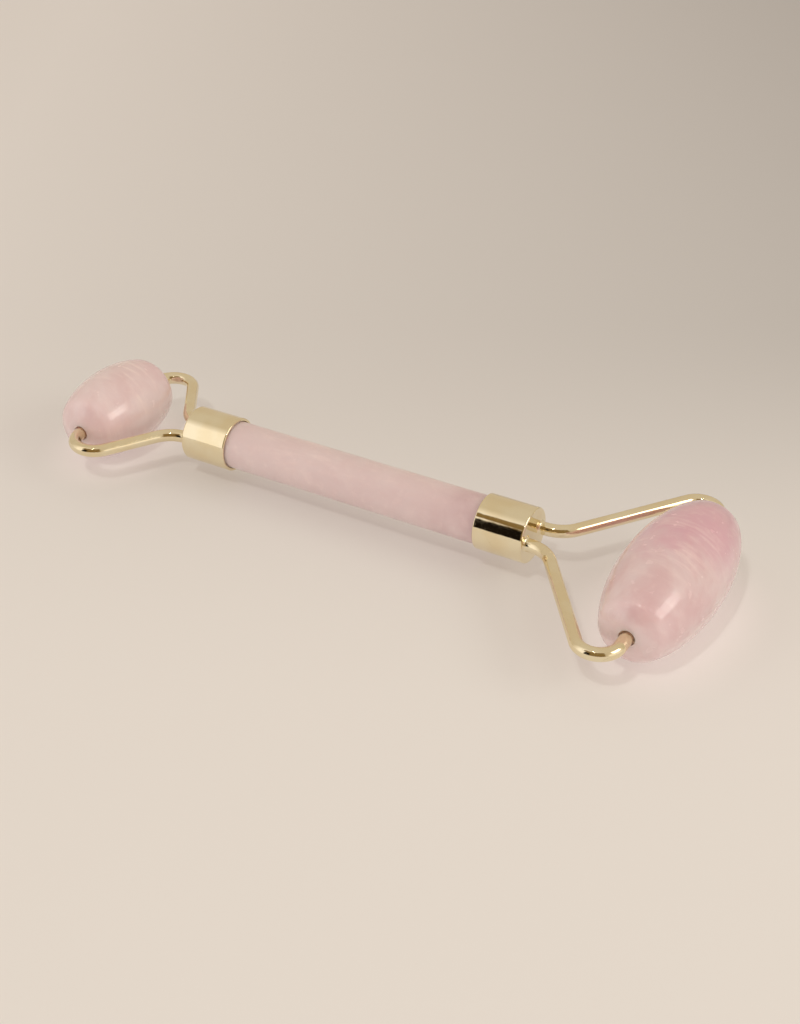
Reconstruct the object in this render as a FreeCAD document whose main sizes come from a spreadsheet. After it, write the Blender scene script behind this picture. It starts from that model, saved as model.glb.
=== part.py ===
"""Double-ended facial massage roller: a stone handle with a plated metal ferrule glued on each end,
two soldered wire arms standing out of each ferrule, and an olive-shaped stone roller between each pair.

Row frame, millimetres: +X runs along the handle towards the large roller, +Y across it, +Z up. The roller
lies on a table on its two stones, and the origin is on the table under the middle of the bounding box.

Three kinds of local frame carry the parts:
  handle frame   origin at the middle of the handle, +X along its axis, tipped so both stones touch the table
  end frame      origin at the centre of a ferrule's outer face, +X outwards, away from the handle
  roller frame   origin at the centre of a stone, +Y along its spin axis
"""
import FreeCAD
import Part
import Sketcher

import math
import os

from FreeCAD import Placement, Rotation, Vector

# Driving dimensions, in millimetres and degrees: alias, value, meaning.
DIMENSIONS = [
    ("handle_dia", 9.8, "stone rod"),
    ("frame_span", 78.0, "outer face of one ferrule to outer face of the other"),
    ("handle_inset", 4.8, "ferrule's outer face to the end of the rod inside it"),
    ("handle_chamfer", 0.5, "edge of the rod's ends"),
    ("ferrule_dia", 11.2, "outside of the ferrules"),
    ("ferrule_bore", 10.2, "inside of the ferrules"),
    ("ferrule_len", 10.4, "length of a ferrule"),
    ("ferrule_plate", 0.8, "thickness of a ferrule's closed end"),
    ("ferrule_edge", 0.4, "rounding of the closed end's rim"),
    ("ferrule_lip", 0.25, "rounding of the open end's rim"),
    ("glue_setback", 0.5, "glue film stops this far inside the open rim"),
    ("wire_dia", 2.6, "arms and their pins"),
    ("wire_hole", 2.8, "hole for an arm in the ferrule's closed end"),
    ("wire_tail", 3.0, "arm's length inside the closed end"),
    ("wire_tip", 0.3, "chamfer on both ends of an arm"),
    ("solder_leg", 0.6, "height and width of a solder fillet outside the plate"),
    ("solder_collar", 0.5, "height of the solder collar inside the plate"),
    ("solder_skirt", 0.4, "width of the solder collar inside the plate"),
    ("stone_edge", 3.0, "rounding where a stone's side meets its domed end"),
    ("stone_bore", 3.1, "hole drilled through a stone"),
    ("stone_mouth", 0.1, "chamfer at the hole's mouths"),
    ("sleeve_bore", 2.72, "bearing sleeve's running bore on the pin"),
    ("sleeve_recess", 1.2, "sleeve's outer end below the stone's tip"),
    ("large_dia", 20.0, "large stone's largest diameter"),
    ("large_len", 42.2, "large stone's length, tip to tip of its domed ends"),
    ("large_curve", 48.6, "length of the whole ellipse that the large stone's side is cut from"),
    ("large_dome", 10.2, "radius of the large stone's domed ends"),
    ("large_reach", 28.0, "ferrule's outer face to the large stone's axis"),
    ("large_root", 3.3, "large arm's root from the handle's axis"),
    ("large_stub", 0.9, "large arm's straight run before its first bend"),
    ("large_knee", 6.8, "large arm's first bend, at the wire's centre"),
    ("large_splay", 54.4, "large arm's angle to the handle, in degrees"),
    ("large_elbow", 4.0, "large arm's bend into the stone"),
    ("large_pin", 8.0, "large arm's pin inside the stone"),
    ("large_sleeve", 7.0, "length of the large stone's sleeves"),
    ("small_dia", 17.6, "small stone's largest diameter"),
    ("small_len", 25.6, "small stone's length, tip to tip of its domed ends"),
    ("small_curve", 32.0, "length of the whole ellipse that the small stone's side is cut from"),
    ("small_dome", 11.2, "radius of the small stone's domed ends"),
    ("small_reach", 20.6, "ferrule's outer face to the small stone's axis"),
    ("small_root", 2.95, "small arm's root from the handle's axis"),
    ("small_stub", 0.8, "small arm's straight run before its first bend"),
    ("small_knee", 6.4, "small arm's first bend, at the wire's centre"),
    ("small_splay", 58.0, "small arm's angle to the handle, in degrees"),
    ("small_elbow", 4.6, "small arm's bend into the stone"),
    ("small_pin", 6.0, "small arm's pin inside the stone"),
    ("small_sleeve", 5.0, "length of the small stone's sleeves"),
]
FREECAD_ORIGIN = -1  # Sketcher's geometry index of the sketch's own origin point and horizontal axis
SKETCH_Y_AXIS = -2   # Sketcher's geometry index of the vertical axis
START, END, CENTRE = 1, 2, 3  # Sketcher's point positions on an edge

doc = FreeCAD.newDocument("face_roller")
sheet = doc.addObject("Spreadsheet::Sheet", "dims")
for row, (alias, value, meaning) in enumerate(DIMENSIONS, start=1):
    sheet.set(f"A{row}", alias)
    sheet.set(f"B{row}", str(value))
    sheet.set(f"C{row}", meaning)
    sheet.setAlias(f"B{row}", alias)
doc.recompute()


def dim(alias):
    """A driving dimension's value, read back from the spreadsheet."""
    return float(sheet.get(alias))


def plane_of(body, role):
    """One of the body's own origin planes."""
    return next(f for f in body.Origin.OriginFeatures if f.Role == role)


def new_body(label):
    body = doc.addObject("PartDesign::Body", label)
    body.Label = label
    return body


def new_sketch(body, name, role="XY_Plane"):
    sketch = body.newObject("Sketcher::SketchObject", f"{body.Name}_{name}")
    sketch.AttachmentSupport = [(plane_of(body, role), "")]
    sketch.MapMode = "FlatFace"
    return sketch


def bind(sketch, kind, where, formula, value):
    """Adds a dimension constraint to a sketch and binds it to a spreadsheet formula."""
    index = sketch.addConstraint(Sketcher.Constraint(kind, *where, value))
    sketch.setExpression(f"Constraints[{index}]", formula)
    return index


def tie(sketch, *constraints):
    for constraint in constraints:
        sketch.addConstraint(Sketcher.Constraint(*constraint))


def round_edges(shape, radius, along, at):
    """Names of the circular edges of that radius whose centre has the coordinate `at` along an axis."""
    names = []
    for number, edge in enumerate(shape.Edges, start=1):
        curve = edge.Curve
        if isinstance(curve, Part.Circle) and abs(curve.Radius - radius) < 1e-4:
            if abs(getattr(curve.Center, along) - at) < 1e-4:
                names.append(f"Edge{number}")
    return names


def dress(body, kind, base, edges, formula):
    """A Fillet or Chamfer on named edges, its size bound to the spreadsheet."""
    if not edges:
        raise RuntimeError(f"{body.Label}: no edge found for the {kind}")
    feature = body.newObject(f"PartDesign::{kind}", f"{body.Name}_{kind}")
    feature.Base = (base, edges)
    feature.setExpression("Radius" if kind == "Fillet" else "Size", formula)
    doc.recompute()
    return feature


def circle_pad(body, name, role, centre, diameter, length, offset=None, reversed_=False, cut=False):
    """A round boss or pocket. centre, diameter and length are (formula, value) pairs; centre may be None."""
    sketch = new_sketch(body, name, role)
    if offset is not None:
        sketch.AttachmentOffset = Placement(Vector(0, 0, offset), Rotation())
    y = centre[1] if centre else 0.0
    sketch.addGeometry(Part.Circle(Vector(y, 0, 0), Vector(0, 0, 1), diameter[1] / 2))
    if centre:
        tie(sketch, ("PointOnObject", 0, CENTRE, FREECAD_ORIGIN))
        bind(sketch, "DistanceX", (FREECAD_ORIGIN, START, 0, CENTRE), centre[0], y)
    else:
        tie(sketch, ("Coincident", 0, CENTRE, FREECAD_ORIGIN, START))
    bind(sketch, "Radius", (0,), f"({diameter[0]}) / 2", diameter[1] / 2)
    feature = body.newObject(f"PartDesign::{'Pocket' if cut else 'Pad'}", f"{body.Name}_{name}_feature")
    feature.Profile = sketch
    feature.setExpression("Length", length[0])
    feature.Reversed = reversed_
    doc.recompute()
    return feature


def size(alias):
    """A spreadsheet cell as the (formula, value) pair that circle_pad takes."""
    return f"dims.{alias}", dim(alias)


def revolve(body, sketch, axis):
    feature = body.newObject("PartDesign::Revolution", f"{body.Name}_turned")
    feature.Profile = sketch
    feature.ReferenceAxis = (sketch, [axis])
    feature.Angle = 360.0
    doc.recompute()
    return feature


def polygon(sketch, points):
    """A closed outline of straight lines; returns nothing, because its lines are numbered from 0."""
    first = sketch.GeometryCount
    for here, there in zip(points, points[1:] + points[:1]):
        sketch.addGeometry(Part.LineSegment(Vector(*here, 0), Vector(*there, 0)))
    count = len(points)
    for i in range(count):
        tie(sketch, ("Coincident", first + i, END, first + (i + 1) % count, START))


# ---- placements -------------------------------------------------------------------------------------------

def handle_placement():
    """The handle frame in the row frame. The handle's axis runs through both stones' centres."""
    between = dim("frame_span") + dim("large_reach") + dim("small_reach")
    large_r, small_r = dim("large_dia") / 2, dim("small_dia") / 2
    tilt = math.asin((large_r - small_r) / between)
    to_large = dim("frame_span") / 2 + dim("large_reach")
    large_x = (between * math.cos(tilt) - (large_r - small_r)) / 2
    base = Vector(large_x - to_large * math.cos(tilt), 0, large_r - to_large * math.sin(tilt))
    return Placement(base, Rotation(Vector(0, 1, 0), -math.degrees(tilt)))


def end_placement(end):
    """The end frame of the large or the small end in the row frame."""
    half = dim("frame_span") / 2
    if end == "large":
        local = Placement(Vector(half, 0, 0), Rotation())
    else:
        local = Placement(Vector(-half, 0, 0), Rotation(Vector(0, 0, 1), 180))
    return handle_placement().multiply(local)


def roller_centre(end):
    """The centre of a stone in the row frame."""
    return end_placement(end).multVec(Vector(dim(f"{end}_reach"), 0, 0))


def turned_over(side):
    """The right-hand arm, solder or sleeve is the left-hand one turned half a turn about X."""
    return Placement(Vector(), Rotation(Vector(1, 0, 0), 0 if side == "left" else 180))


# ---- sub-parts --------------------------------------------------------------------------------------------

def make_handle():
    """The polished stone rod, chamfered at both ends and hidden in the ferrules there."""
    body = new_body("handle_rod")
    half = dim("frame_span") / 2 - dim("handle_inset")
    length = ("dims.frame_span - 2 * dims.handle_inset", 2 * half)
    rod = circle_pad(body, "rod", "YZ_Plane", None, size("handle_dia"), length, offset=-half)
    edges = []
    for at in (-half, half):
        edges += round_edges(rod.Shape, dim("handle_dia") / 2, "x", at)
    dress(body, "Chamfer", rod, edges, "dims.handle_chamfer")
    body.Placement = handle_placement()
    return body


def make_ferrule(end):
    """A drawn cup: open towards the handle, with two holes for the arms in its closed end."""
    body = new_body(f"{end}_ferrule")
    diameter, length = size("ferrule_dia"), size("ferrule_len")
    outer = circle_pad(body, "cup", "YZ_Plane", None, diameter, length, reversed_=True)
    edges = round_edges(outer.Shape, dim("ferrule_dia") / 2, "x", 0.0)
    rim = dress(body, "Fillet", outer, edges, "dims.ferrule_edge")
    edges = round_edges(rim.Shape, dim("ferrule_dia") / 2, "x", -dim("ferrule_len"))
    dress(body, "Fillet", rim, edges, "dims.ferrule_lip")
    depth = ("dims.ferrule_len - dims.ferrule_plate", dim("ferrule_len") - dim("ferrule_plate"))
    circle_pad(body, "bore", "YZ_Plane", None, size("ferrule_bore"), depth,
               offset=-dim("ferrule_len"), reversed_=True, cut=True)
    for name, sign in (("hole_left", ""), ("hole_right", "-")):
        y = dim(f"{end}_root") * (-1 if sign else 1)
        circle_pad(body, name, "YZ_Plane", (f"{sign}dims.{end}_root", y), size("wire_hole"),
                   size("ferrule_plate"), cut=True)
    body.Placement = end_placement(end)
    return body


def arm_path(end):
    """The five centreline pieces of an arm in its end frame, from the tail in the ferrule to the pin's tip."""
    root, stub, knee = dim(f"{end}_root"), dim(f"{end}_stub"), dim(f"{end}_knee")
    reach, elbow = dim(f"{end}_reach"), dim(f"{end}_elbow")
    splay = math.radians(dim(f"{end}_splay"))
    tail = Vector(-dim("ferrule_plate") - dim("wire_tail"), root, 0)
    knee_start = Vector(stub, root, 0)
    knee_centre = Vector(stub, root + knee, 0)
    knee_end = knee_centre + Vector(math.sin(splay), -math.cos(splay), 0) * knee
    elbow_centre_x = reach - elbow
    elbow_start_x = elbow_centre_x - elbow * math.sin(splay)
    elbow_start = Vector(elbow_start_x, knee_end.y + (elbow_start_x - knee_end.x) * math.tan(splay), 0)
    elbow_centre = elbow_start + Vector(math.sin(splay), -math.cos(splay), 0) * elbow
    elbow_end = elbow_centre + Vector(elbow, 0, 0)
    tip = Vector(reach, dim(f"{end}_len") / 2 - dim(f"{end}_pin"), 0)
    upwards = Vector(0, 0, 1)
    return [
        Part.LineSegment(tail, knee_start),
        Part.ArcOfCircle(Part.Circle(knee_centre, upwards, knee), -math.pi / 2, splay - math.pi / 2),
        Part.LineSegment(knee_end, elbow_start),
        Part.ArcOfCircle(Part.Circle(elbow_centre, upwards, elbow), 0, splay + math.pi / 2),
        Part.LineSegment(elbow_end, tip),
    ]


def make_arm(end, side):
    """One bent wire: a tail soldered through the ferrule, a splayed run, and a pin in the stone."""
    body = new_body(f"{end}_arm_{side}")
    path = new_sketch(body, "path")
    path.addGeometry(arm_path(end))
    root, reach = dim(f"{end}_root"), dim(f"{end}_reach")
    tail_x = -dim("ferrule_plate") - dim("wire_tail")
    tip_y = dim(f"{end}_len") / 2 - dim(f"{end}_pin")
    tie(path,
        ("Horizontal", 0), ("Vertical", 4),
        ("Tangent", 0, END, 1, START), ("Tangent", 1, END, 2, START),
        ("Tangent", 2, END, 3, END), ("Tangent", 3, START, 4, START))
    origin = (FREECAD_ORIGIN, START)
    bind(path, "DistanceX", (*origin, 0, START), "-dims.ferrule_plate - dims.wire_tail", tail_x)
    bind(path, "DistanceY", (*origin, 0, START), f"dims.{end}_root", root)
    bind(path, "DistanceX", (*origin, 0, END), f"dims.{end}_stub", dim(f"{end}_stub"))
    bind(path, "Radius", (1,), f"dims.{end}_knee", dim(f"{end}_knee"))
    bind(path, "Angle", (2,), f"dims.{end}_splay * 1deg", math.radians(dim(f"{end}_splay")))
    bind(path, "Radius", (3,), f"dims.{end}_elbow", dim(f"{end}_elbow"))
    bind(path, "DistanceX", (*origin, 4, END), f"dims.{end}_reach", reach)
    bind(path, "DistanceY", (*origin, 4, END), f"dims.{end}_len / 2 - dims.{end}_pin", tip_y)
    section = new_sketch(body, "section", "YZ_Plane")
    section.AttachmentOffset = Placement(Vector(0, 0, tail_x), Rotation())
    section.addGeometry(Part.Circle(Vector(root, 0, 0), Vector(0, 0, 1), dim("wire_dia") / 2))
    tie(section, ("PointOnObject", 0, CENTRE, FREECAD_ORIGIN))
    bind(section, "DistanceX", (*origin, 0, CENTRE), f"dims.{end}_root", root)
    bind(section, "Radius", (0,), "dims.wire_dia / 2", dim("wire_dia") / 2)
    doc.recompute()
    wire = body.newObject("PartDesign::AdditivePipe", f"{body.Name}_wire")
    wire.Profile = section
    wire.Spine = (path, [])
    doc.recompute()
    radius = dim("wire_dia") / 2
    ends = round_edges(wire.Shape, radius, "x", tail_x) + round_edges(wire.Shape, radius, "y", tip_y)
    dress(body, "Chamfer", wire, ends, "dims.wire_tip")
    body.Placement = end_placement(end).multiply(turned_over(side))
    return body


def make_solder(end, side):
    """The solder round one arm's root: a fillet outside the plate, the joint in the hole, a collar inside."""
    body = new_body(f"{end}_solder_{side}")
    sketch = new_sketch(body, "profile")
    root, wire, hole = dim(f"{end}_root"), dim("wire_dia") / 2, dim("wire_hole") / 2
    leg, plate, collar = dim("solder_leg"), dim("ferrule_plate"), dim("solder_collar")
    inner, outer, neck = root + wire, root + wire + leg, root + hole
    deep, rim = -plate - collar, root + wire + dim("solder_skirt")
    corners = [(leg, inner), (0, outer), (0, neck), (-plate, neck), (-plate, rim), (deep, rim), (deep, inner)]
    round_leg = Part.Circle(Vector(leg, outer, 0), Vector(0, 0, 1), leg)
    curve = Part.ArcOfCircle(round_leg, math.pi, 1.5 * math.pi)
    sketch.addGeometry(curve)
    for here, there in zip(corners[1:], corners[2:] + corners[:1]):
        sketch.addGeometry(Part.LineSegment(Vector(*here, 0), Vector(*there, 0)))
    axis = sketch.addGeometry(Part.LineSegment(Vector(deep, root, 0), Vector(leg, root, 0)), True)
    tie(sketch, ("Coincident", 0, START, 1, START), ("Coincident", 6, END, 0, END))
    for line in range(1, 6):
        tie(sketch, ("Coincident", line, END, line + 1, START))
    for line in (1, 3, 5):
        tie(sketch, ("Vertical", line))
    for line in (2, 4, 6, axis):
        tie(sketch, ("Horizontal", line))
    tie(sketch, ("PointOnObject", 0, START, SKETCH_Y_AXIS), ("Vertical", 0, END, 0, CENTRE),
        ("Horizontal", 0, START, 0, CENTRE),
        ("Vertical", axis, START, 6, START), ("Vertical", axis, END, 6, END))
    origin = (FREECAD_ORIGIN, START)
    bind(sketch, "Radius", (0,), "dims.solder_leg", leg)
    bind(sketch, "DistanceY", (*origin, 6, START), f"dims.{end}_root + dims.wire_dia / 2", inner)
    bind(sketch, "DistanceY", (*origin, 1, END), f"dims.{end}_root + dims.wire_hole / 2", neck)
    skirt = f"dims.{end}_root + dims.wire_dia / 2 + dims.solder_skirt"
    bind(sketch, "DistanceY", (*origin, 4, END), skirt, rim)
    bind(sketch, "DistanceX", (3, START, *origin), "dims.ferrule_plate", plate)
    bind(sketch, "DistanceX", (5, START, *origin), "dims.ferrule_plate + dims.solder_collar", -deep)
    bind(sketch, "DistanceY", (*origin, axis, START), f"dims.{end}_root", root)
    revolve(body, sketch, "Axis0")
    body.Placement = end_placement(end).multiply(turned_over(side))
    return body


def make_glue(end):
    """The epoxy in a ferrule: a plug round the arms' tails, and a film between the rod and the cup."""
    body = new_body(f"{end}_glue")
    plate, setback = dim("ferrule_plate"), dim("glue_setback")
    length = dim("ferrule_len") - plate - setback
    circle_pad(body, "plug", "YZ_Plane", None, size("ferrule_bore"),
               ("dims.ferrule_len - dims.ferrule_plate - dims.glue_setback", length),
               offset=-plate, reversed_=True)
    depth = dim("ferrule_len") - setback - dim("handle_inset")
    circle_pad(body, "seat", "YZ_Plane", None, size("handle_dia"),
               ("dims.ferrule_len - dims.glue_setback - dims.handle_inset", depth),
               offset=setback - dim("ferrule_len"), reversed_=True, cut=True)
    collar = ("dims.wire_dia + 2 * dims.solder_skirt", dim("wire_dia") + 2 * dim("solder_skirt"))
    for side, sign in (("left", ""), ("right", "-")):
        centre = (f"{sign}dims.{end}_root", dim(f"{end}_root") * (-1 if sign else 1))
        circle_pad(body, f"tail_{side}", "YZ_Plane", centre, size("wire_dia"), size("wire_tail"),
                   offset=-plate, cut=True)
        circle_pad(body, f"collar_{side}", "YZ_Plane", centre, collar, size("solder_collar"),
                   offset=-plate, cut=True)
    body.Placement = end_placement(end)
    return body


def make_stone(end):
    """An olive-shaped roller: part of an ellipse turned about Y, with two domed ends, drilled through."""
    body = new_body(f"{end}_roller_stone")
    sketch = new_sketch(body, "profile")
    half, bore, dome = dim(f"{end}_len") / 2, dim("stone_bore") / 2, dim(f"{end}_dome")
    major, minor = dim(f"{end}_curve") / 2, dim(f"{end}_dia") / 2
    dome_y = half - dome
    flatness = 1 - (minor / major) ** 2
    discriminant = dome_y ** 2 - flatness * (minor ** 2 - dome ** 2 + dome_y ** 2)
    meet_y = (dome_y + math.sqrt(discriminant)) / flatness
    meet_r = minor * math.sqrt(1 - (meet_y / major) ** 2)
    mouth_y = dome_y + math.sqrt(dome ** 2 - bore ** 2)
    upwards = Vector(0, 0, 1)
    side_angle = math.acos(meet_y / major)
    dome_start, dome_end = math.atan2(meet_y - dome_y, meet_r), math.atan2(mouth_y - dome_y, bore)
    ellipse = Part.Ellipse(Vector(0, major, 0), Vector(-minor, 0, 0), Vector(0, 0, 0))
    side = sketch.addGeometry(Part.ArcOfEllipse(ellipse, math.pi + side_angle, 2 * math.pi - side_angle))
    top_circle = Part.Circle(Vector(0, dome_y, 0), upwards, dome)
    bottom_circle = Part.Circle(Vector(0, -dome_y, 0), upwards, dome)
    top = sketch.addGeometry(Part.ArcOfCircle(top_circle, dome_start, dome_end))
    hole = sketch.addGeometry(Part.LineSegment(Vector(bore, mouth_y, 0), Vector(bore, -mouth_y, 0)))
    bottom = sketch.addGeometry(Part.ArcOfCircle(bottom_circle, -dome_end, -dome_start))
    tie(sketch,
        ("Coincident", side, CENTRE, FREECAD_ORIGIN, START),
        ("Coincident", side, END, top, START), ("Coincident", top, END, hole, START),
        ("Coincident", hole, END, bottom, START), ("Coincident", bottom, END, side, START),
        ("PointOnObject", top, CENTRE, SKETCH_Y_AXIS), ("PointOnObject", bottom, CENTRE, SKETCH_Y_AXIS),
        ("Vertical", hole))
    sketch.exposeInternalGeometry(side)
    long_axis, short_axis = bottom + 1, bottom + 2
    tie(sketch, ("Vertical", long_axis))
    origin = (FREECAD_ORIGIN, START)
    bind(sketch, "Distance", (long_axis,), f"dims.{end}_curve", 2 * major)
    bind(sketch, "Distance", (short_axis,), f"dims.{end}_dia", 2 * minor)
    bind(sketch, "Radius", (top,), f"dims.{end}_dome", dome)
    bind(sketch, "Radius", (bottom,), f"dims.{end}_dome", dome)
    bind(sketch, "DistanceY", (*origin, top, CENTRE), f"dims.{end}_len / 2 - dims.{end}_dome", dome_y)
    bind(sketch, "DistanceY", (bottom, CENTRE, *origin), f"dims.{end}_len / 2 - dims.{end}_dome", dome_y)
    bind(sketch, "DistanceX", (*origin, hole, START), "dims.stone_bore / 2", bore)
    turned = revolve(body, sketch, "V_Axis")
    rims = round_edges(turned.Shape, meet_r, "y", meet_y) + round_edges(turned.Shape, meet_r, "y", -meet_y)
    rounded = dress(body, "Fillet", turned, rims, "dims.stone_edge")
    rounded_shape = rounded.Shape
    mouths = round_edges(rounded_shape, bore, "y", mouth_y) + round_edges(rounded_shape, bore, "y", -mouth_y)
    dress(body, "Chamfer", rounded, mouths, "dims.stone_mouth")
    body.Placement = Placement(roller_centre(end), Rotation())
    return body


def make_sleeve(end, side):
    """The metal bearing sleeve pressed into one mouth of a stone's hole; the arm's pin turns in it."""
    body = new_body(f"{end}_sleeve_{side}")
    sketch = new_sketch(body, "profile")
    inner, outer = dim("sleeve_bore") / 2, dim("stone_bore") / 2
    top = dim(f"{end}_len") / 2 - dim("sleeve_recess")
    bottom = top - dim(f"{end}_sleeve")
    polygon(sketch, [(inner, bottom), (outer, bottom), (outer, top), (inner, top)])
    tie(sketch, ("Horizontal", 0), ("Vertical", 1), ("Horizontal", 2), ("Vertical", 3))
    origin = (FREECAD_ORIGIN, START)
    bind(sketch, "DistanceX", (*origin, 0, START), "dims.sleeve_bore / 2", inner)
    bind(sketch, "DistanceX", (*origin, 1, START), "dims.stone_bore / 2", outer)
    bind(sketch, "DistanceY", (*origin, 2, START), f"dims.{end}_len / 2 - dims.sleeve_recess", top)
    bind(sketch, "DistanceY", (0, START, 3, START), f"dims.{end}_sleeve", top - bottom)
    revolve(body, sketch, "V_Axis")
    body.Placement = Placement(roller_centre(end), Rotation()).multiply(turned_over(side))
    return body


def make_all():
    parts = [make_handle()]
    for end in ("large", "small"):
        parts += [make_ferrule(end), make_glue(end), make_stone(end)]
        for side in ("left", "right"):
            parts += [make_arm(end, side), make_solder(end, side), make_sleeve(end, side)]
    return parts


def check(parts):
    """Stops before anything is written if a feature failed or a sub-part has no valid solid."""
    for thing in doc.Objects:
        if any(word in ("Invalid", "Error") for word in thing.State):
            raise RuntimeError(f"{thing.Label} did not compute: {thing.State}")
    for part in parts:
        shape = part.Shape
        if shape.isNull() or not shape.isValid() or len(shape.Solids) != 1:
            raise RuntimeError(f"{part.Label} has no single valid solid")


subparts = make_all()
doc.recompute()
check(subparts)
os.makedirs("parts", exist_ok=True)
for subpart in subparts:
    subpart.Shape.exportStep(f"parts/{subpart.Label}.step")
    box = subpart.Shape.BoundBox
    print(f"{subpart.Label}: {subpart.Shape.Volume:.1f} mm3, x {box.XMin:.2f} to {box.XMax:.2f}, "
          f"y {box.YMin:.2f} to {box.YMax:.2f}, z {box.ZMin:.2f} to {box.ZMax:.2f}")
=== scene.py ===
"""The looks of a double-ended rose quartz face roller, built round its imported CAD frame."""

import math

import bpy
from mathutils import Matrix, Vector


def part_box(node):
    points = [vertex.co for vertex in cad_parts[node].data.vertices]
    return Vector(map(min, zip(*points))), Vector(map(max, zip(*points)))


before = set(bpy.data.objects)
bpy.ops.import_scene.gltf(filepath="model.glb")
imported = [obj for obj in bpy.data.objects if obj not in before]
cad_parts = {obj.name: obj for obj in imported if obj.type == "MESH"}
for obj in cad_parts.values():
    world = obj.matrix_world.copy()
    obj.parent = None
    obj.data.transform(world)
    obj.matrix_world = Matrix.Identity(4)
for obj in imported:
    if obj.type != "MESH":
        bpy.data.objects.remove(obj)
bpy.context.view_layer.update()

ENDS = ("large", "small")
SIDES = ("left", "right")

# ---- node helpers ------------------------------------------------------------------------------------


class Graph:
    """A short way to write a node tree."""

    def __init__(self, tree):
        self.tree = tree
        tree.nodes.clear()

    def add(self, kind, **settings):
        """Adds a node. Capitals set an input, with underscores for spaces, and lower case a property."""
        node = self.tree.nodes.new(kind)
        for name, value in settings.items():
            if name[0].islower():
                setattr(node, name, value)
            else:
                self.put(node.inputs[name.replace("_", " ")], value)
        return node

    def put(self, socket, value):
        """Links a node or one of its outputs to an input, or sets the input to a plain value."""
        if isinstance(value, bpy.types.NodeSocket):
            self.tree.links.new(value, socket)
        elif isinstance(value, bpy.types.Node):
            self.tree.links.new(value.outputs[0], socket)
        else:
            socket.default_value = value

    def math(self, operation, a, b=0.0, clamp=False):
        node = self.add("ShaderNodeMath", operation=operation, use_clamp=clamp)
        self.put(node.inputs[0], a)
        self.put(node.inputs[1], b)
        return node.outputs[0]

    def vector(self, operation, a, b=(0.0, 0.0, 0.0)):
        node = self.add("ShaderNodeVectorMath", operation=operation)
        self.put(node.inputs[0], a)
        self.put(node.inputs[1], b)
        return node

    def mix(self, factor, a, b, blend="MIX"):
        """Mixes two colours."""
        node = self.add("ShaderNodeMix", data_type="RGBA", blend_type=blend)
        self.put(node.inputs[0], factor)
        self.put(node.inputs[6], a)
        self.put(node.inputs[7], b)
        return node.outputs[2]

    def ramp(self, factor, *stops):
        """A smooth value ramp. Each stop is (position, value)."""
        node = self.add("ShaderNodeValToRGB")
        node.color_ramp.interpolation = "EASE"
        for element, (position, value) in zip(node.color_ramp.elements, stops):
            element.position = position
            element.color = (value, value, value, 1.0)
        self.put(node.inputs[0], factor)
        return node.outputs[0]

    def noise(self, vector, scale, detail=3.0, roughness=0.5, distortion=0.0):
        """Noise with that many blobs to a metre."""
        return self.add("ShaderNodeTexNoise", Vector=vector, Scale=scale, Detail=detail,
                        Roughness=roughness, Distortion=distortion).outputs[0]

    def scattered(self, vector, scale, rarity, inner, outer):
        """Spots in a few cells, picked at random: a ramp of the distance from the cell's middle."""
        cells = self.add("ShaderNodeTexVoronoi", Vector=vector, Scale=scale, Randomness=1.0)
        draw = self.add("ShaderNodeSeparateColor", Color=cells.outputs["Color"]).outputs[0]
        picked = self.math("GREATER_THAN", draw, rarity)
        return self.math("MULTIPLY", self.ramp(cells.outputs["Distance"], inner, outer), picked)

    def bump(self, height, distance, normal=None):
        """Turns a height of 0 to 1 into a bump of that many metres."""
        node = self.add("ShaderNodeBump", Height=height, Strength=1.0, Distance=distance)
        if normal is not None:
            self.put(node.inputs["Normal"], normal)
        return node.outputs[0]


def colour(r, g, b):
    """A linear colour from its values on a screen, 0 to 255."""
    def linear(v):
        v /= 255.0
        return v / 12.92 if v <= 0.04045 else ((v + 0.055) / 1.055) ** 2.4
    return linear(r), linear(g), linear(b), 1.0


def new_material(name):
    material = bpy.data.materials.new(name)
    material.use_nodes = True
    graph = Graph(material.node_tree)
    shader = graph.add("ShaderNodeBsdfPrincipled")
    graph.add("ShaderNodeOutputMaterial", Surface=shader)
    return material, graph, shader


def coordinates(graph):
    return graph.add("ShaderNodeTexCoord").outputs["Object"]


# ---- rose quartz -------------------------------------------------------------------------------------

DEEP_PINK = colour(217, 171, 187)
# painted shade: the handle's end, darkened where the large ferrule shades it
PAINTED_SHADE_PINK = colour(198, 169, 174)
MILK = colour(247, 231, 228)
IRON_SPECK = colour(120, 70, 70)

# How many features of each kind there are to a metre.
CLOUDS, GRAIN, WANDER = 70.0, 520.0, 110.0
RINGS, THREADS = 75.0, 260.0
SPECKS, HAZE, LAPPING = 170.0, 420.0, 150.0

RING_SQUEEZE = 4.5          # how much closer the rings lie along the stone than round it
LAPPING_HEIGHT = 0.00002    # metres
QUARTZ_IOR = 1.54
COAT_ROUGHNESS = 0.06
LIGHT_REACH = 0.0022        # metres that light travels inside the stone
LIGHT_REACH_BY_COLOUR = (1.0, 0.92, 0.90)


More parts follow.
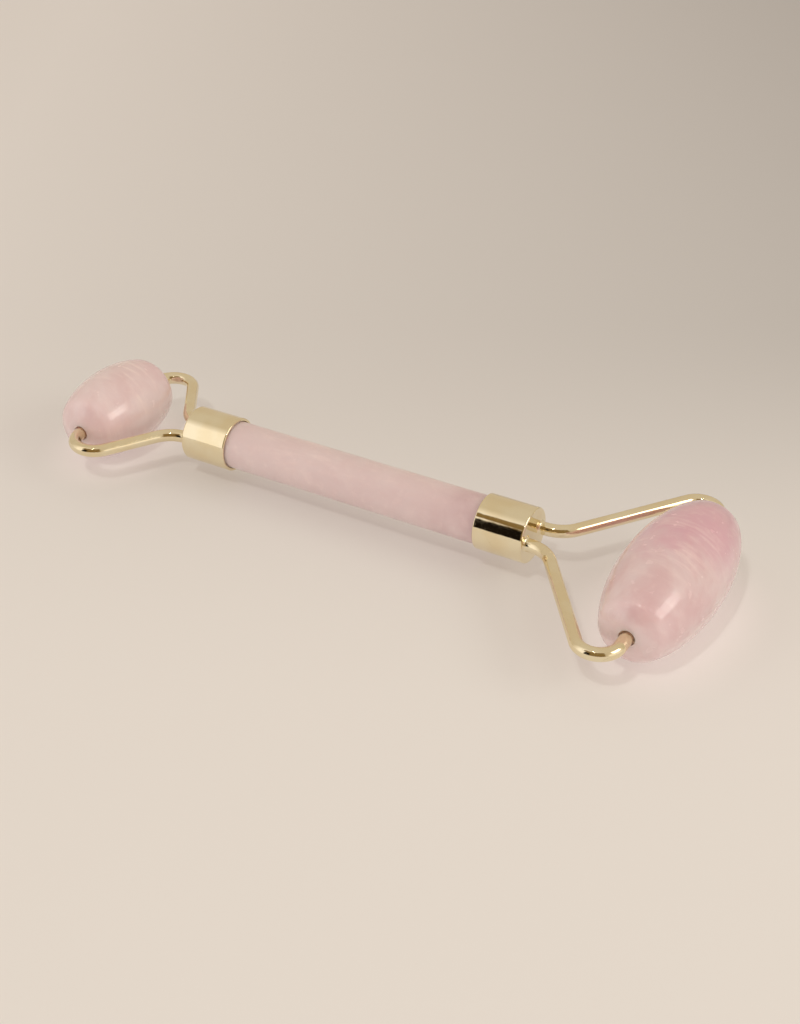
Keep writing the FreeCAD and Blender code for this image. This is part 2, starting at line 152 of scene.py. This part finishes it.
def rose_quartz(name, centre, pale, dusty, ring_turn, deep_tint_and_shade_at, deep_tint_and_shade_size, vein_at, vein_size,
                clouds=1.0, deep_tint_and_shade=1.0, veins=1.0, deep_tint_and_shade_colour=DEEP_PINK, roughness=0.22, polish=0.35):
    """Rose quartz: pale clouds, milky rings across the stone, a patch that is deeper pink on the stones and
    painted shade on the handle, and a few dark specks.

    The patch and the rings each have a place and a size, in metres from the middle of the piece.
    clouds, deep and veins are strengths, and ring_turn tilts the rings, in radians about X, Y and Z.
    """
    material, graph, shader = new_material(name)
    at = graph.vector("SUBTRACT", coordinates(graph), tuple(centre)).outputs[0]
    cloud = graph.noise(at, CLOUDS, detail=4.0, roughness=0.6, distortion=0.5)
    grain = graph.noise(at, GRAIN, detail=5.0, roughness=0.62)
    wander = graph.math("SUBTRACT", graph.noise(at, WANDER, detail=4.0, roughness=0.6), 0.5)

    def region(point, size, edge):
        """1 near a point, 0 beyond its size, with a wandering edge."""
        far = graph.vector("LENGTH", graph.vector("SUBTRACT", at, point)).outputs["Value"]
        reach = graph.math("ADD", graph.math("DIVIDE", far, size), graph.math("MULTIPLY", wander, edge))
        return graph.ramp(reach, (0.3, 1.0), (1.0, 0.0))

    drift = graph.math("MULTIPLY", graph.ramp(cloud, (0.34, 0.0), (0.68, 1.0)), clouds)
    base = graph.mix(drift, pale, dusty)
    # The patch is the stone's own deeper pink on the rollers, and painted shade on the handle.
    patch = graph.math("MULTIPLY", region(deep_tint_and_shade_at, deep_tint_and_shade_size, edge=1.1), deep_tint_and_shade)
    base = graph.mix(patch, base, deep_tint_and_shade_colour)

    squeezed = graph.add("ShaderNodeMapping", Vector=at, Rotation=ring_turn, Scale=(1.0, RING_SQUEEZE, 1.0))
    thick = graph.noise(squeezed, RINGS, detail=5.0, roughness=0.6, distortion=0.35)
    thick = graph.ramp(thick, (0.50, 0.0), (0.72, 1.0))
    thin = graph.ramp(graph.noise(squeezed, THREADS, detail=4.0, roughness=0.6), (0.48, 0.0), (0.80, 1.0))
    near = graph.math("ADD", graph.math("MULTIPLY", region(vein_at, vein_size, edge=0.6), 0.8), 0.2)
    milky = graph.math("ADD", thick, graph.math("MULTIPLY", thin, 0.45))
    milky = graph.math("MULTIPLY", milky, near, clamp=True)
    base = graph.mix(graph.math("MULTIPLY", milky, veins), base, MILK)
    base = graph.mix(graph.math("MULTIPLY", graph.ramp(grain, (0.5, 0.0), (0.8, 1.0)), 0.2), base, MILK)
    spot = graph.scattered(at, SPECKS, 0.93, (0.02, 1.0), (0.06, 0.0))
    base = graph.mix(graph.math("MULTIPLY", spot, 0.7), base, IRON_SPECK)
    graph.put(shader.inputs["Base Color"], base)

    worn = graph.ramp(graph.noise(at, HAZE, detail=3.0), (0.35, roughness * 0.8), (0.7, roughness * 1.25))
    graph.put(shader.inputs["Roughness"], worn)
    shader.inputs["IOR"].default_value = QUARTZ_IOR
    shader.inputs["Coat Weight"].default_value = polish
    shader.inputs["Coat Roughness"].default_value = COAT_ROUGHNESS
    shader.inputs["Subsurface Weight"].default_value = 1.0
    shader.inputs["Subsurface Radius"].default_value = LIGHT_REACH_BY_COLOUR
    shader.inputs["Subsurface Scale"].default_value = LIGHT_REACH
    lapped = graph.noise(at, LAPPING, detail=2.0)
    graph.put(shader.inputs["Normal"], graph.bump(lapped, LAPPING_HEIGHT))
    return material


# ---- metals and glue ---------------------------------------------------------------------------------

CHAMPAGNE = (0.90, 0.82, 0.60)
WARMER = (0.97, 0.93, 0.86)         # what the plating's warmer patches multiply it by
WAVES, SCUFFS, PITS = 160.0, 1400.0, 420.0
WAVE_HEIGHT, SCUFF_HEIGHT, PIT_DEPTH = 0.00006, 0.000002, 0.00002


def plated_gold(name, roughness, waviness=1.0):
    """Pale champagne-gold plating with the faint waves of hand polishing and a few pits."""
    material, graph, shader = new_material(name)
    at = coordinates(graph)
    waves = graph.noise(at, WAVES, detail=2.0)
    scuffs = graph.noise(at, SCUFFS, detail=4.0)
    warm = [part * change for part, change in zip(CHAMPAGNE, WARMER)]
    patches = graph.ramp(waves, (0.35, 0.0), (0.65, 1.0))
    graph.put(shader.inputs["Base Color"], graph.mix(patches, (*CHAMPAGNE, 1.0), (*warm, 1.0)))
    shader.inputs["Metallic"].default_value = 1.0
    worn = graph.ramp(scuffs, (0.35, roughness * 0.75), (0.75, roughness * 1.5))
    graph.put(shader.inputs["Roughness"], worn)
    pits = graph.scattered(at, PITS, 0.96, (0.03, 0.0), (0.12, 1.0))
    normal = graph.bump(waves, WAVE_HEIGHT * waviness)
    normal = graph.bump(scuffs, SCUFF_HEIGHT, normal)
    graph.put(shader.inputs["Normal"], graph.bump(pits, PIT_DEPTH, normal))
    return material


def dull_brass(name):
    """Unplated brass, a little tarnished."""
    material, graph, shader = new_material(name)
    tarnish = graph.noise(coordinates(graph), 500.0, detail=4.0)
    spread = graph.ramp(tarnish, (0.35, 0.0), (0.7, 1.0))
    graph.put(shader.inputs["Base Color"], graph.mix(spread, colour(247, 228, 198), colour(230, 202, 166)))
    shader.inputs["Metallic"].default_value = 1.0
    graph.put(shader.inputs["Roughness"], graph.ramp(tarnish, (0.3, 0.35), (0.7, 0.6)))
    return material


def amber_epoxy(name):
    """Cured glue, cloudy and yellowed."""
    material, graph, shader = new_material(name)
    cloud = graph.noise(coordinates(graph), 300.0, detail=3.0)
    spread = graph.ramp(cloud, (0.3, 0.0), (0.7, 1.0))
    graph.put(shader.inputs["Base Color"], graph.mix(spread, colour(196, 170, 128), colour(160, 128, 84)))
    graph.put(shader.inputs["Roughness"], graph.ramp(cloud, (0.3, 0.2), (0.7, 0.4)))
    return material


# ---- dressing the pieces -----------------------------------------------------------------------------


def dress(material, *nodes):
    for name in nodes:
        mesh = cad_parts[name].data
        mesh.materials.clear()
        mesh.materials.append(material)


def middle(node):
    low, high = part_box(node)
    return (low + high) / 2


def on_each_arm(piece):
    """The names of a piece that every arm has one of."""
    return [f"{end}_{piece}_{side}" for end in ENDS for side in SIDES]


large_centre = middle("large_roller_stone")
small_centre = middle("small_roller_stone")

dress(rose_quartz("rose_quartz_large", large_centre, pale=colour(225, 206, 209), dusty=colour(216, 185, 190),
                  ring_turn=(0.15, 0.0, -0.12), deep_tint_and_shade_at=(-0.002, 0.0085, 0.007), deep_tint_and_shade_size=0.019,
                  vein_at=(0.0, -0.003, 0.008), vein_size=0.012, deep_tint_and_shade=0.88, veins=0.55, polish=0.6),
      "large_roller_stone")
dress(rose_quartz("rose_quartz_small", small_centre, pale=colour(229, 212, 215), dusty=colour(222, 197, 200),
                  ring_turn=(0.2, 0.0, -0.5), deep_tint_and_shade_at=(0.0, 0.009, 0.004), deep_tint_and_shade_size=0.009,
                  vein_at=(0.0, 0.003, 0.006), vein_size=0.013, deep_tint_and_shade=0.3, veins=0.7, polish=0.5),
      "small_roller_stone")
# On the handle, the darker patch at its large end, in a dusky pink, is painted shade from the ferrule next
# to it.
dress(rose_quartz("rose_quartz_handle", middle("handle_rod"), pale=colour(221, 204, 206),
                  dusty=colour(215, 192, 195), ring_turn=(0.1, 0.0, -1.3), deep_tint_and_shade_at=(0.035, 0.0, 0.0),
                  deep_tint_and_shade_size=0.019, vein_at=(-0.004, 0.0, 0.004), vein_size=0.03, clouds=0.45, deep_tint_and_shade=0.85,
                  veins=0.3, deep_tint_and_shade_colour=PAINTED_SHADE_PINK, roughness=0.38, polish=0.1),
      "handle_rod")
dress(plated_gold("gold_ferrule", roughness=0.07), *[f"{end}_ferrule" for end in ENDS])
dress(plated_gold("gold_wire", roughness=0.12, waviness=2.0), *on_each_arm("arm"))
dress(plated_gold("gold_solder", roughness=0.16, waviness=4.0), *on_each_arm("solder"))
dress(dull_brass("sleeve_brass"), *on_each_arm("sleeve"))
dress(amber_epoxy("epoxy"), *[f"{end}_glue" for end in ENDS])

# ---- floor -------------------------------------------------------------------------------------------

PAPER_HALF_SIDE = 3.0
AWAY = (-0.49, 0.87, 0.0)       # level, away from the camera
ACROSS = (0.87, 0.49, 0.0)      # level, to the camera's right
SHADE_START, SHADE_DEPTH = -0.06, 0.16              # metres along AWAY over which painted shade greys the paper
SHADE_MIDDLE, SHADE_SLOPE = 0.19, 1.2               # how much painted shade greys it at the middle, and per metre across
SHADE_LEAST, SHADE_MOST = 0.05, 0.40
PAINTED_PAPER_GLOW = 0.50                                         # painted glow of the paper itself, which lifts its shadows
# the painted glow's pink tint, which makes the shadows pinker
PAINTED_GLOW_TINT = (1.0, 0.80, 0.77, 1.0)
QUARTZ_GLOW = 0.22                                  # painted glow on the paper round each stone, standing in for light that comes through it
QUARTZ_GLOW_REACH = {"large": (0.020, 0.030, 1.0), "small": (0.017, 0.022, 1.0)}


def make_floor():
    """A wide sheet of pale paper with painted light and shade: shade that greys it away from the camera, a
    glow of its own that lifts its shadows, and a brighter glow round each stone for light that comes through
    it.
    """
    half = PAPER_HALF_SIDE
    mesh = bpy.data.meshes.new("paper")
    corners = [(-half, -half, 0), (half, -half, 0), (half, half, 0), (-half, half, 0)]
    mesh.from_pydata(corners, [], [(0, 1, 2, 3)])
    floor = bpy.data.objects.new("paper", mesh)
    bpy.context.scene.collection.objects.link(floor)
    material, graph, shader = new_material("paper")
    at = coordinates(graph)
    away = graph.vector("DOT_PRODUCT", at, AWAY).outputs["Value"]
    across = graph.vector("DOT_PRODUCT", at, ACROSS).outputs["Value"]
    # Painted shade: the paper darkens away from the camera, and more so towards the right.
    depth = graph.math("DIVIDE", graph.math("SUBTRACT", away, SHADE_START), SHADE_DEPTH)
    depth = graph.ramp(depth, (0.0, 0.0), (1.0, 1.0))
    drop = graph.math("ADD", graph.math("MULTIPLY", across, SHADE_SLOPE), SHADE_MIDDLE)
    drop = graph.math("MINIMUM", graph.math("MAXIMUM", drop, SHADE_LEAST), SHADE_MOST)
    shade = graph.math("SUBTRACT", 1.0, graph.math("MULTIPLY", depth, drop))
    mottle = graph.math("MULTIPLY", graph.noise(at, 30.0, detail=3.0), 0.06)
    paper = graph.mix(mottle, colour(193, 195, 192), colour(185, 186, 182))
    shaded = graph.mix(1.0, paper, shade, "MULTIPLY")
    # Painted light: the paper glows on its own, and more brightly round each stone.
    glow = PAINTED_PAPER_GLOW
    for centre, end in ((large_centre, "large"), (small_centre, "small")):
        offset = graph.vector("SUBTRACT", at, (centre.x, centre.y, 0.0))
        reach = graph.vector("DIVIDE", offset, QUARTZ_GLOW_REACH[end])
        near = graph.vector("LENGTH", reach).outputs["Value"]
        glow = graph.math("ADD", graph.ramp(near, (0.35, QUARTZ_GLOW), (1.0, 0.0)), glow)
    graph.put(shader.inputs["Base Color"], shaded)
    graph.put(shader.inputs["Emission Color"], graph.mix(1.0, shaded, PAINTED_GLOW_TINT, "MULTIPLY"))
    graph.put(shader.inputs["Emission Strength"], glow)
    shader.inputs["Roughness"].default_value = 0.75
    shader.inputs["Specular IOR Level"].default_value = 0.3
    floor.data.materials.append(material)


# ---- room --------------------------------------------------------------------------------------------

# Directions are in degrees: azimuth 0 is the front, -Y, and 90 the right, +X. Colours are radiances,
# where 1 looks like white paper.
WALL = (0.63, 0.54, 0.43, 1.0)
CEILING = (0.66, 0.575, 0.47, 1.0)

# What the polished metal mirrors, painted over the walls in this order: a colour, then its patches.
# A patch spans azimuths and elevations, each as (low, its soft width, high, its soft width).
ROOM = (
    ((1.12, 1.03, 0.96, 1.0), [((-80.0, 32.0, -14.0, 14.0), (-30.0, 20.0, 72.0, 26.0))]),   # a pale screen
    ((1.05, 0.96, 0.86, 1.0), [((58.0, 8.0, 125.0, 20.0), (-10.0, 5.0, 27.0, 8.0))]),       # a lit wall
    ((0.24, 0.155, 0.062, 1.0), [((-40.0, 2.0, 50.0, 2.0), (37.0, 3.0, 58.0, 3.0)),         # brown furniture
                                 ((-28.0, 2.0, 50.0, 2.0), (-2.0, 3.0, 41.0, 3.0))]),
    ((0.008, 0.005, 0.003, 1.0), [((-28.0, 2.0, -4.0, 4.0), (-2.0, 3.0, 40.0, 8.0))]),      # a dark doorway
)


def make_world():
    """A pale room with a brighter ceiling, and the screens and dark things that the metal mirrors."""
    world = bpy.data.worlds.new("room")
    bpy.context.scene.world = world
    world.use_nodes = True
    graph = Graph(world.node_tree)
    background = graph.add("ShaderNodeBackground", Strength=1.0)
    graph.add("ShaderNodeOutputWorld", Surface=background)
    direction = graph.add("ShaderNodeTexCoord").outputs["Generated"]
    x, y, z = graph.add("ShaderNodeSeparateXYZ", Vector=direction).outputs
    azimuth = graph.math("ARCTAN2", x, graph.math("MULTIPLY", y, -1.0))
    azimuth = graph.math("MULTIPLY", azimuth, math.degrees(1.0))
    elevation = graph.math("MULTIPLY", graph.math("ARCSINE", z), math.degrees(1.0))

    def between(value, low, low_soft, high, high_soft):
        """1 from low to high, rising and falling over the soft widths inside them."""
        up = graph.math("DIVIDE", graph.math("SUBTRACT", value, low), low_soft, clamp=True)
        down = graph.math("DIVIDE", graph.math("SUBTRACT", high, value), high_soft, clamp=True)
        return graph.math("MULTIPLY", up, down)

    sky = graph.mix(graph.ramp(z, (0.45, 0.0), (0.98, 1.0)), WALL, CEILING)
    for tint, patches in ROOM:
        cover = 0.0
        for azimuths, elevations in patches:
            patch = graph.math("MULTIPLY", between(azimuth, *azimuths), between(elevation, *elevations))
            cover = graph.math("MAXIMUM", cover, patch)
        sky = graph.mix(cover, sky, tint)
    graph.put(background.inputs["Color"], sky)


# ---- lamps and camera --------------------------------------------------------------------------------

LAMPLIGHT = (1.0, 0.95, 0.88)
SOFT_LIGHT = (1.0, 0.96, 0.91)
FILLS = ((20.0, 1.9), (-70.0, 1.1), (110.0, 0.25), (-160.0, 0.5))       # azimuth, radiance
CAMERA_PLACE = (0.140361, -0.240374, 0.185317)
CAMERA_AZIMUTH, CAMERA_ELEVATION, CAMERA_ROLL = 29.271, 33.144, 0.844
CAMERA_LENS, CAMERA_SENSOR = 58.4, 36.0                                 # millimetres


def towards(azimuth, elevation):
    """The unit vector in a direction."""
    a, e = math.radians(azimuth), math.radians(elevation)
    return Vector((math.sin(a) * math.cos(e), -math.cos(a) * math.cos(e), math.sin(e)))


def add_lamp(name, azimuth, elevation, distance, width, height, radiance, tint, mirrored=True):
    """A rectangular lamp that shines at the middle of the floor. Polished surfaces may leave it out."""
    light = bpy.data.lights.new(name, "AREA")
    light.shape = "RECTANGLE"
    light.size, light.size_y = width, height
    light.energy = radiance * math.pi * width * height
    light.color = tint
    lamp = bpy.data.objects.new(name, light)
    lamp.visible_glossy = mirrored
    bpy.context.scene.collection.objects.link(lamp)
    back = towards(azimuth, elevation)
    lamp.location = back * distance
    lamp.rotation_mode = "QUATERNION"
    lamp.rotation_quaternion = back.to_track_quat("Z", "Y")


def make_camera():
    """The viewing angle, height and lens of the product shot."""
    data = bpy.data.cameras.new("camera")
    data.lens, data.sensor_width = CAMERA_LENS, CAMERA_SENSOR
    data.clip_start, data.clip_end = 0.01, 20.0
    camera = bpy.data.objects.new("camera", data)
    bpy.context.scene.collection.objects.link(camera)
    camera.location = CAMERA_PLACE
    level = towards(CAMERA_AZIMUTH, CAMERA_ELEVATION).to_track_quat("Z", "Y").to_matrix()
    camera.rotation_mode = "QUATERNION"
    camera.rotation_quaternion = (level @ Matrix.Rotation(math.radians(CAMERA_ROLL), 3, "Z")).to_quaternion()
    bpy.context.scene.camera = camera


make_floor()
make_world()
add_lamp("window", 98.0, 34.0, 0.8, 0.40, 0.29, 3.0, LAMPLIGHT)
add_lamp("ceiling_lamp", 4.0, 62.0, 1.2, 0.04, 0.04, 90.0, LAMPLIGHT)
add_lamp("spot", 4.0, 56.5, 1.2, 0.07, 0.07, 145.0, SOFT_LIGHT, mirrored=False)
for number, (azimuth, radiance) in enumerate(FILLS):
    add_lamp(f"fill_{number}", azimuth, 8.0, 1.0, 1.3, 0.25, radiance, SOFT_LIGHT, mirrored=False)
make_camera()
bpy.context.scene.view_settings.view_transform = "Standard"
